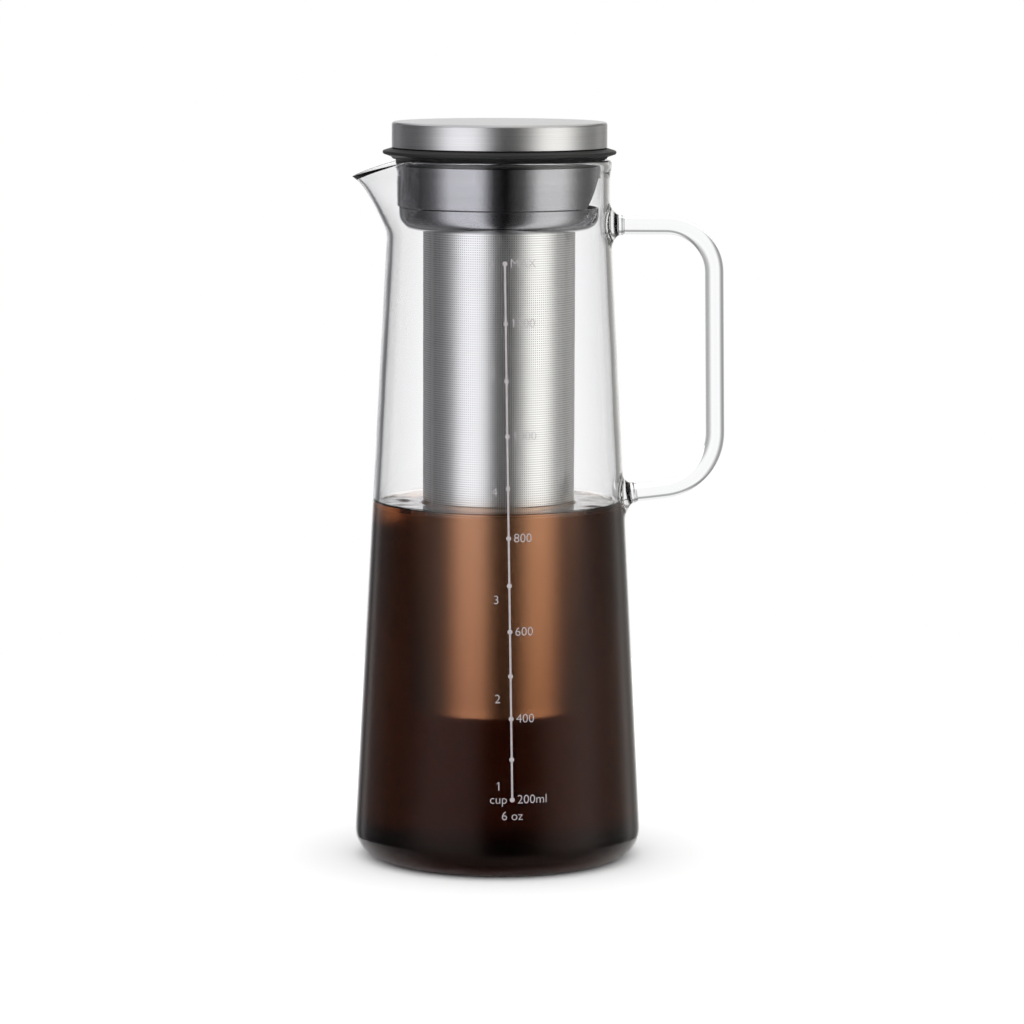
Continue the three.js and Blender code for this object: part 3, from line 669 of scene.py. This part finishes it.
def etched_steel(name, flat):
    """Etched sheet, its holes set out round the sleeve or, if flat, over a disc."""
    material, tree, shader = new_material(name, Metallic=1.0, Roughness=0.32)
    place = add(tree, "ShaderNodeTexCoord").outputs["Object"]
    axes = add(tree, "ShaderNodeSeparateXYZ", Vector=place)
    frontwards = calc(tree, "MULTIPLY", axes.outputs["Y"], -1.0)
    angle = calc(tree, "ARCTAN2", axes.outputs["X"], frontwards)
    if flat:
        across = calc(tree, "DIVIDE", axes.outputs["X"], HOLE_PITCH)
        up = calc(tree, "DIVIDE", axes.outputs["Y"], HOLE_PITCH)
        plain = 0.0
    else:
        across = calc(tree, "MULTIPLY", angle, HOLES_AROUND / (2 * math.pi))
        up = calc(tree, "DIVIDE", axes.outputs["Z"], HOLE_PITCH)
        from_seam = calc(tree, "ABSOLUTE", calc(tree, "SUBTRACT", angle, SEAM_TURN))
        seam = calc(tree, "LESS_THAN", from_seam, SEAM_WIDTH / 2 / FILTER_RADIUS)
        middle = (sleeve_low.z + sleeve_high.z) / 2
        from_middle = calc(tree, "ABSOLUTE", calc(tree, "SUBTRACT", axes.outputs["Z"], middle))
        edge = calc(tree, "GREATER_THAN", from_middle, (sleeve_high.z - sleeve_low.z) / 2 - MARGIN)
        plain = calc(tree, "MAXIMUM", seam, edge)
    holes = add_group(tree, etched_holes, Across=across, Up=up, Open=HOLE_OPEN)
    hole = calc(
        tree, "MULTIPLY", holes.outputs["Hole"], calc(tree, "SUBTRACT", 1.0, plain))
    streaks = add_group(tree, brushing, Lines=1500.0)
    tone = add(tree, "ShaderNodeMix", {"data_type": "RGBA"}, Factor=streaks.outputs["Streak"])
    tone.inputs["A"].default_value = (0.86, 0.86, 0.86, 1)
    tone.inputs["B"].default_value = (0.97, 0.97, 0.96, 1)
    colour = add(tree, "ShaderNodeMix", {"data_type": "RGBA"}, Factor=hole)
    tree.links.new(tone.outputs["Result"], colour.inputs["A"])
    colour.inputs["B"].default_value = (0.22, 0.22, 0.22, 1)
    dent = calc(tree, "SUBTRACT", calc(tree, "MULTIPLY", streaks.outputs["Streak"], 0.1), hole)
    bump = add(tree, "ShaderNodeBump", Height=dent, Strength=0.1, Distance=0.0001)
    feed(tree, shader, Base_Color=colour.outputs["Result"], Normal=bump.outputs["Normal"])
    return material


sleeve_shell = turned(
    [
        (FILTER_RADIUS, sleeve_low.z, 0),
        (FILTER_RADIUS, sleeve_high.z, 0),
        (FILTER_RADIUS - SLEEVE_WALL, sleeve_high.z, 0),
        (FILTER_RADIUS - SLEEVE_WALL, sleeve_low.z, 0),
    ],
    STEEL_TURNS, SLEEVE_ROW)
sleeve = piece("etched_sleeve", sleeve_shell, etched_steel("etched_tube", flat=False))
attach(sleeve, "filter")
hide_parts("filter_sleeve")

# Filter base
# A pressed disc of the same etched sheet, its skirt turned down and welded inside the sleeve's
# foot.
base_low, base_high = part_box("filter_base")
SHEET = 0.0006
BASE_CROWN = 0.0007
DISC_ROW = 0.004
base_shell = turned(
    [
        (0, base_high.z, 0),
        (base_high.x, base_high.z, BASE_CROWN),
        (base_high.x, base_low.z, SHEET / 3),
        (base_high.x - SHEET, base_low.z, SHEET / 3),
        (base_high.x - SHEET, base_high.z - SHEET, BASE_CROWN / 4),
        (0, base_high.z - SHEET, 0),
    ],
    STEEL_TURNS, DISC_ROW, closed=False)
base = piece("etched_base", base_shell, etched_steel("etched_disc", flat=True))
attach(base, "filter")
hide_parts("filter_base")

# Filter top ring
# A turned steel hoop that stiffens the sleeve's mouth and hides inside the collar when the
# filter hangs from the lid.
ring_low, ring_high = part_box("filter_top_ring")
TOP_RING_WIDTH = 0.0009
TOP_RING_ROUNDING = 0.0003


def brushed_steel(name, dark, pale, roughness, uneven=0.16, relief=0.25, lines=3000.0):
    """Steel brushed round the axis: streaks in tone, gloss and relief."""
    material, tree, shader = new_material(name, Metallic=1.0)
    streaks = add_group(tree, brushing, Lines=lines)
    tone = add(tree, "ShaderNodeMix", {"data_type": "RGBA"}, Factor=streaks.outputs["Streak"])
    tone.inputs["A"].default_value = dark
    tone.inputs["B"].default_value = pale
    gloss = calc(
        tree, "MULTIPLY_ADD", streaks.outputs["Streak"], uneven, roughness - uneven / 2)
    bump = add(
        tree, "ShaderNodeBump", Height=streaks.outputs["Streak"], Strength=relief,
        Distance=0.00004)
    feed(
        tree, shader, Base_Color=tone.outputs["Result"], Roughness=gloss,
        Normal=bump.outputs["Normal"])
    return material


cap_steel = brushed_steel("cap_steel", (0.52, 0.52, 0.53, 1), (0.8, 0.8, 0.8, 1), 0.31)
tree = cap_steel.node_tree
shader = tree.nodes["Principled BSDF"]
# Painted highlight: faces that look up take the pale steel tone all over instead of the streaked
# one, so flat tops show lighter than the sides.
up = add(tree, "ShaderNodeSeparateXYZ", Vector=add(tree, "ShaderNodeNewGeometry").outputs["Normal"])
shown = add(
    tree, "ShaderNodeMix", {"data_type": "RGBA"},
    Factor=calc(tree, "MULTIPLY_ADD", up.outputs["Z"], 5.0, -4.0, clamp=True))
tree.links.new(shader.inputs["Base Color"].links[0].from_socket, shown.inputs["A"])
shown.inputs["B"].default_value = (0.8, 0.8, 0.8, 1)
feed(tree, shader, Base_Color=shown.outputs["Result"])
top_ring_shell = turned(
    [
        (ring_high.x - TOP_RING_WIDTH, ring_low.z, 0),
        (ring_high.x, ring_low.z, TOP_RING_ROUNDING),
        (ring_high.x, ring_high.z, TOP_RING_ROUNDING),
        (ring_high.x - TOP_RING_WIDTH, ring_high.z, 0),
    ],
    STEEL_TURNS)
top_ring = piece("mouth_ring", top_ring_shell, cap_steel)
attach(top_ring, "filter")
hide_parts("filter_top_ring")

# Strainer dish
# A round-bottomed ring pressed from polished sheet coloured darker than the cap's steel, fixed
# round the sleeve by its hub, with a circle of drain holes near the sleeve.
dish_low, dish_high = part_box("strainer_dish")
EDGE_BREAK = 0.0002
DISH_ROUNDING = 0.0052
DISH_BORE = FILTER_RADIUS + 0.0003
DISH_HUB = 0.0033
DISH_HOLES = 16
DISH_HOLE_RADIUS = 0.001
collar_steel = brushed_steel(
    "collar_steel", (0.33, 0.33, 0.35, 1), (0.38, 0.38, 0.4, 1), 0.13, uneven=0.04, relief=0.02,
    lines=900.0)
dish_shell = turned(
    [
        (DISH_BORE, dish_low.z, EDGE_BREAK),
        (dish_high.x, dish_low.z, DISH_ROUNDING),
        (dish_high.x, dish_high.z, EDGE_BREAK),
        (dish_high.x - SHEET, dish_high.z, EDGE_BREAK),
        (dish_high.x - SHEET, dish_low.z + SHEET, DISH_ROUNDING - SHEET),
        (DISH_BORE + SHEET, dish_low.z + SHEET, 2 * EDGE_BREAK),
        (DISH_BORE + SHEET, dish_low.z + DISH_HUB, 0),
        (DISH_BORE, dish_low.z + DISH_HUB, 0),
    ],
    STEEL_TURNS)
drills = bmesh.new()
for i in range(DISH_HOLES):
    spot = Matrix.Rotation(2 * math.pi * i / DISH_HOLES, 4, "Z") @ Matrix.Translation(
        (DISH_BORE + 2 * SHEET + DISH_HOLE_RADIUS, 0, dish_low.z))
    bmesh.ops.create_cone(
        drills, cap_ends=True, segments=20, radius1=DISH_HOLE_RADIUS, radius2=DISH_HOLE_RADIUS,
        depth=4 * SHEET, matrix=spot)
dish = piece("strainer", combined(dish_shell, drills, "DIFFERENCE"), collar_steel, sharp=32)
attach(dish, "filter")
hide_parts("strainer_dish")

# Pour collar
# A band of the same polished sheet, coloured darker than the cap's steel, under the lid, screwed to
# the core by its ledge, with a slanting window open at its foot that turns round to the spout to
# pour.
collar_low, collar_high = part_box("pour_collar")
COLLAR_RADIUS = collar_high.y
LEDGE_BORE = 0.0287
WINDOW_SILL = 0.040
WINDOW_HEAD = 0.0226
WINDOW_HEIGHT = 0.0108
COLLAR_RISE = 0.0022
COLLAR_FOLD = 0.0005
collar_shell = turned(
    [
        (COLLAR_RADIUS - SHEET, collar_low.z, EDGE_BREAK),
        (COLLAR_RADIUS, collar_low.z, EDGE_BREAK),
        (COLLAR_RADIUS, collar_high.z + COLLAR_RISE, EDGE_BREAK),
        (COLLAR_RADIUS - SHEET, collar_high.z + COLLAR_RISE, EDGE_BREAK),
        (COLLAR_RADIUS - SHEET, collar_high.z, 0),
        (LEDGE_BORE, collar_high.z, EDGE_BREAK / 2),
        (LEDGE_BORE, collar_high.z - SHEET, EDGE_BREAK / 2),
        (COLLAR_RADIUS - SHEET, collar_high.z - SHEET, COLLAR_FOLD),
    ],
    STEEL_TURNS)
window = bmesh.new()
window_corners = [
    window.verts.new((COLLAR_RADIUS / 3, across / 2, collar_low.z + up))
    for across, up in (
        (-WINDOW_SILL, -SHEET), (WINDOW_SILL, -SHEET), (WINDOW_SILL, 0),
        (WINDOW_HEAD, WINDOW_HEIGHT), (-WINDOW_HEAD, WINDOW_HEIGHT), (-WINDOW_SILL, 0))
]
window.faces.new(window_corners)
pushed = bmesh.ops.extrude_face_region(window, geom=window.faces[:])["geom"]
bmesh.ops.translate(
    window, verts=[g for g in pushed if isinstance(g, bmesh.types.BMVert)],
    vec=(COLLAR_RADIUS, 0, 0))
bmesh.ops.recalc_face_normals(window, faces=window.faces)
collar = piece("collar", combined(collar_shell, window, "DIFFERENCE"), collar_steel, sharp=32)
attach(collar, "lid")
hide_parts("pour_collar")

# Lid core, its grip ring and the collar's screws
# A moulded black plastic cup that fills the cap; a silicone ring in its groove holds the filter's
# mouth, and three pan-head screws go up through the collar's ledge.
core_plastic, tree, shader = new_material("core_plastic", Roughness=0.42)
place = add(tree, "ShaderNodeTexCoord").outputs["Object"]
grain = add(tree, "ShaderNodeTexNoise", Vector=place, Scale=1800.0, Detail=2.0)
shades = add(tree, "ShaderNodeValToRGB", Fac=grain.outputs["Fac"])
shades.color_ramp.elements[0].color = (0.02, 0.02, 0.022, 1)
shades.color_ramp.elements[1].color = (0.045, 0.045, 0.048, 1)
bump = add(tree, "ShaderNodeBump", Height=grain.outputs["Fac"], Strength=0.3, Distance=0.00005)
feed(tree, shader, Base_Color=shades.outputs["Color"], Normal=bump.outputs["Normal"])

silicone, tree, shader = new_material("silicone", Roughness=0.5, Specular_IOR_Level=0.45)
place = add(tree, "ShaderNodeTexCoord").outputs["Object"]
bloom = add(tree, "ShaderNodeTexNoise", Vector=place, Scale=220.0, Detail=4.0)
shades = add(tree, "ShaderNodeValToRGB", Fac=bloom.outputs["Fac"])
shades.color_ramp.elements[0].color = (0.006, 0.006, 0.006, 1)
shades.color_ramp.elements[1].color = (0.018, 0.018, 0.019, 1)
gloss = calc(tree, "MULTIPLY_ADD", bloom.outputs["Fac"], 0.2, 0.4)
bump = add(tree, "ShaderNodeBump", Height=bloom.outputs["Fac"], Strength=0.1, Distance=0.0001)
feed(
    tree, shader, Base_Color=shades.outputs["Color"], Roughness=gloss,
    Normal=bump.outputs["Normal"])

OWN_LOOKS = {
    "lid_core": core_plastic, "filter_grip_ring": silicone, "collar_screw_1": cap_steel,
    "collar_screw_2": cap_steel, "collar_screw_3": cap_steel,
}
for name, material in OWN_LOOKS.items():
    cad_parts[name].data.materials.clear()
    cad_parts[name].data.materials.append(material)

# Lid gasket
# One ring of soft black silicone: a plug inside the glass rim, a seat on it, and a thin lip that
# spreads past the cap to cover it.
gasket_low, gasket_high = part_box("lid_gasket")
GASKET_BORE = 0.0348
GASKET_PLUG = 0.037
GASKET_EDGE = 0.0003
GROOVE_RADIUS = COLLAR_RADIUS - 1.5 * SHEET
SEAT_RADIUS = GASKET_PLUG + 0.0012
SEAT_HEIGHT = RIM + 0.0003
LIP_ROOT = 0.0387
LIP_ROOT_HEIGHT = RIM + 0.0011
LIP_HEIGHT = RIM + 0.0021
LIP_EDGE = 0.001
gasket_shell = turned(
    [
        (GASKET_BORE, gasket_low.z, GASKET_EDGE),
        (GROOVE_RADIUS, gasket_low.z, GASKET_EDGE / 3),
        (GROOVE_RADIUS, gasket_low.z + COLLAR_RISE, 0),
        (GASKET_PLUG, gasket_low.z + COLLAR_RISE, 0.0004),
        (GASKET_PLUG, SEAT_HEIGHT, GASKET_EDGE),
        (SEAT_RADIUS, SEAT_HEIGHT, GASKET_EDGE),
        (LIP_ROOT, LIP_ROOT_HEIGHT, 0.0004),
        (gasket_high.x, LIP_HEIGHT, LIP_EDGE / 2),
        (gasket_high.x, LIP_HEIGHT + LIP_EDGE, LIP_EDGE / 2),
        (LIP_ROOT, gasket_high.z, 0.0005),
        (GASKET_BORE, gasket_high.z, GASKET_EDGE),
    ],
    STEEL_TURNS)
gasket = piece("gasket", gasket_shell, silicone, sharp=60)
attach(gasket, "gasket")
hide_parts("lid_gasket")

# Lid cap
# A disc of stainless sheet pressed over the core, brushed round its skirt and over its flat top,
# with a tight rounded edge between them.
cap_low, cap_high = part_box("lid_cap")
CAP_EDGE = 0.0011
cap_shell = turned(
    [
        (0, cap_high.z, 0),
        (cap_high.x, cap_high.z, CAP_EDGE),
        (cap_high.x, cap_low.z, SHEET / 3),
        (cap_high.x - SHEET, cap_low.z, SHEET / 3),
        (cap_high.x - SHEET, cap_high.z - SHEET, CAP_EDGE - SHEET),
        (0, cap_high.z - SHEET, 0),
    ],
    STEEL_TURNS, DISC_ROW, closed=False)
cap = piece("cap", cap_shell, cap_steel)
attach(cap, "lid")
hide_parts("lid_cap")

# Floor
# A pale matt sheet that runs out to white but keeps the jug's soft shadow. Reflections see it
# only where it is close to what reflects it.
FLOOR_SIZE = 0.45
FLOOR_DROP = 0.0001
FLOOR_PALE = 0.9
FLOOR_WHITE = 1.39
FLOOR_CLOSE = 0.03

floor_mesh = bmesh.new()
bmesh.ops.create_grid(floor_mesh, x_segments=1, y_segments=1, size=FLOOR_SIZE)
bmesh.ops.translate(floor_mesh, verts=floor_mesh.verts, vec=(0, 0, -FLOOR_DROP))
pale_floor = bpy.data.materials.new("pale_floor")
pale_floor.use_nodes = True
tree = pale_floor.node_tree
tree.nodes.clear()
path = add(tree, "ShaderNodeLightPath")
direct = calc(tree, "LESS_THAN", path.outputs["Diffuse Depth"], 0.5)
matt = add(
    tree, "ShaderNodeBsdfDiffuse",
    Color=calc(tree, "MULTIPLY_ADD", direct, FLOOR_WHITE - FLOOR_PALE, FLOOR_PALE))
unseen = add(tree, "ShaderNodeBsdfTransparent")
glossed = calc(tree, "GREATER_THAN", path.outputs["Glossy Depth"], 0.5)
far = calc(tree, "GREATER_THAN", path.outputs["Ray Length"], FLOOR_CLOSE)
shown = add(tree, "ShaderNodeMixShader", Fac=calc(tree, "MULTIPLY", glossed, far))
tree.links.new(matt.outputs[0], shown.inputs[1])
tree.links.new(unseen.outputs[0], shown.inputs[2])
add(tree, "ShaderNodeOutputMaterial", Surface=shown.outputs[0])
floor = piece("floor", floor_mesh, pale_floor)

# Studio light
# White for what is seen directly. Gloss and clear glass see a ring of soft boxes and dark flags
# set out by their bearing from the camera, which stands at bearing 0, with a dark header and a
# plain top over it. Towards the camera's side, clear glass sees white.
PLAIN_LEVEL = 0.9
FILL = 0.2
HEADER_HEIGHT = 0.33
HEADER_SLOPE = 14.0
HEADER_REACH = 1.6
HEADER_DARK = 0.75
TOP_LEVEL = 0.75
TOP_SLOPE = 5.5
TOP_START = 2.4
WHITE_SLOPE = 5.0
COOL = (0.975, 0.97, 1.0, 1)
WARM = (1.0, 0.99, 0.955, 1)
SOFT_BOXES = (
    (-180, 1.0), (-167, 1.0), (-158, 0.3), (-150, 0.1), (-141, 0.4), (-130, 0.15), (-98, 0.1),
    (-86, 0.16), (-76, 0.3), (-66, 0.78), (-56, 1.35), (-27, 1.42), (-19, 1.1), (-12, 0.4),
    (-6, 0.06), (7, 0.0), (15, 0.06), (27, 0.18), (36, 0.62), (45, 1.3), (56, 1.45), (74, 1.42),
    (85, 0.9), (95, 0.42), (105, 0.25), (120, 0.22), (136, 0.5), (147, 0.25), (158, 0.4),
    (168, 1.0), (180, 1.0),
)
world = bpy.data.worlds.new("studio")
world.use_nodes = True
bpy.context.scene.world = world
tree = world.node_tree
tree.nodes.clear()
ray = add(tree, "ShaderNodeTexCoord").outputs["Generated"]
axes = add(tree, "ShaderNodeSeparateXYZ", Vector=ray)
towards_camera = calc(tree, "MULTIPLY", axes.outputs["Y"], -1.0)
bearing = calc(tree, "ARCTAN2", axes.outputs["X"], towards_camera)
ring = add(tree, "ShaderNodeValToRGB", Fac=calc(tree, "MULTIPLY_ADD", bearing, 0.5 / math.pi, 0.5))
stops = ring.color_ramp.elements
for degrees, level in SOFT_BOXES[1:-1]:
    stops.new(degrees / 360 + 0.5).color = (level / 2, level / 2, level / 2, 1)
for stop, (_, level) in ((stops[0], SOFT_BOXES[0]), (stops[-1], SOFT_BOXES[-1])):
    stop.color = (level / 2, level / 2, level / 2, 1)
boxes = calc(tree, "MULTIPLY", ring.outputs["Color"], 2.0)
from_header = calc(tree, "ABSOLUTE", calc(tree, "SUBTRACT", axes.outputs["Z"], HEADER_HEIGHT))
header = calc(tree, "MULTIPLY_ADD", from_header, -HEADER_SLOPE, HEADER_REACH, clamp=True)
flagged = calc(tree, "MULTIPLY_ADD", header, -HEADER_DARK, 1.0)
overhead = calc(tree, "MULTIPLY_ADD", axes.outputs["Z"], TOP_SLOPE, -TOP_START, clamp=True)
around = add(
    tree, "ShaderNodeMix", {"data_type": "FLOAT"}, Factor=overhead,
    A=calc(tree, "MULTIPLY", boxes, flagged), B=TOP_LEVEL)
path = add(tree, "ShaderNodeLightPath")
unglossed = calc(tree, "LESS_THAN", path.outputs["Glossy Depth"], 0.5)
glossed = calc(tree, "SUBTRACT", 1.0, unglossed)
sideways = calc(tree, "MULTIPLY_ADD", axes.outputs["Y"], -WHITE_SLOPE, 1.0, clamp=True)
filled = calc(tree, "MAXIMUM", sideways, FILL)
lifted = add(
    tree, "ShaderNodeMix", {"data_type": "FLOAT"},
    Factor=calc(tree, "MULTIPLY", unglossed, filled), A=around.outputs["Result"], B=1.0)
matt = calc(tree, "MINIMUM", path.outputs["Diffuse Depth"], 1.0)
lit = add(
    tree, "ShaderNodeMix", {"data_type": "FLOAT"}, Factor=matt, A=lifted.outputs["Result"],
    B=PLAIN_LEVEL)
level = add(
    tree, "ShaderNodeMix", {"data_type": "FLOAT"}, Factor=path.outputs["Is Camera Ray"],
    A=lit.outputs["Result"], B=1.0)
side = add(
    tree, "ShaderNodeMix", {"data_type": "RGBA"},
    Factor=calc(tree, "MULTIPLY_ADD", axes.outputs["X"], 2.0, 0.5, clamp=True))
side.inputs["A"].default_value = COOL
side.inputs["B"].default_value = WARM
tint = add(tree, "ShaderNodeMix", {"data_type": "RGBA"}, Factor=glossed)
tint.inputs["A"].default_value = (1, 1, 1, 1)
tree.links.new(side.outputs["Result"], tint.inputs["B"])
sky = add(
    tree, "ShaderNodeBackground", Color=tint.outputs["Result"], Strength=level.outputs["Result"])
add(tree, "ShaderNodeOutputWorld", Surface=sky.outputs[0])
world.cycles.sampling_method = "NONE"

# Camera
# A long lens 1.56 m in front of the jug and a little above it, tilted down.
CAMERA_BACK = 1.559
CAMERA_HEIGHT = 0.3196
CAMERA_TILT = math.radians(7.13)
CAMERA_YAW = math.radians(-0.155)
CAMERA_ROLL = math.radians(-0.2)
SENSOR = 36.0
FOCAL_PIXELS = 4363.0
FRAME_PIXELS = 1024.0
BOUNCES = 24
lens = bpy.data.cameras.new("camera")
lens.sensor_width = SENSOR
lens.lens = SENSOR * FOCAL_PIXELS / FRAME_PIXELS
camera = bpy.data.objects.new("camera", lens)
camera.location = (0, -CAMERA_BACK, CAMERA_HEIGHT)
camera.rotation_euler = (math.pi / 2 - CAMERA_TILT, CAMERA_ROLL, CAMERA_YAW)
bpy.context.scene.collection.objects.link(camera)
bpy.context.scene.camera = camera
bpy.context.scene.view_settings.view_transform = "Standard"
bpy.context.scene.cycles.max_bounces = BOUNCES
bpy.context.scene.cycles.transmission_bounces = BOUNCES
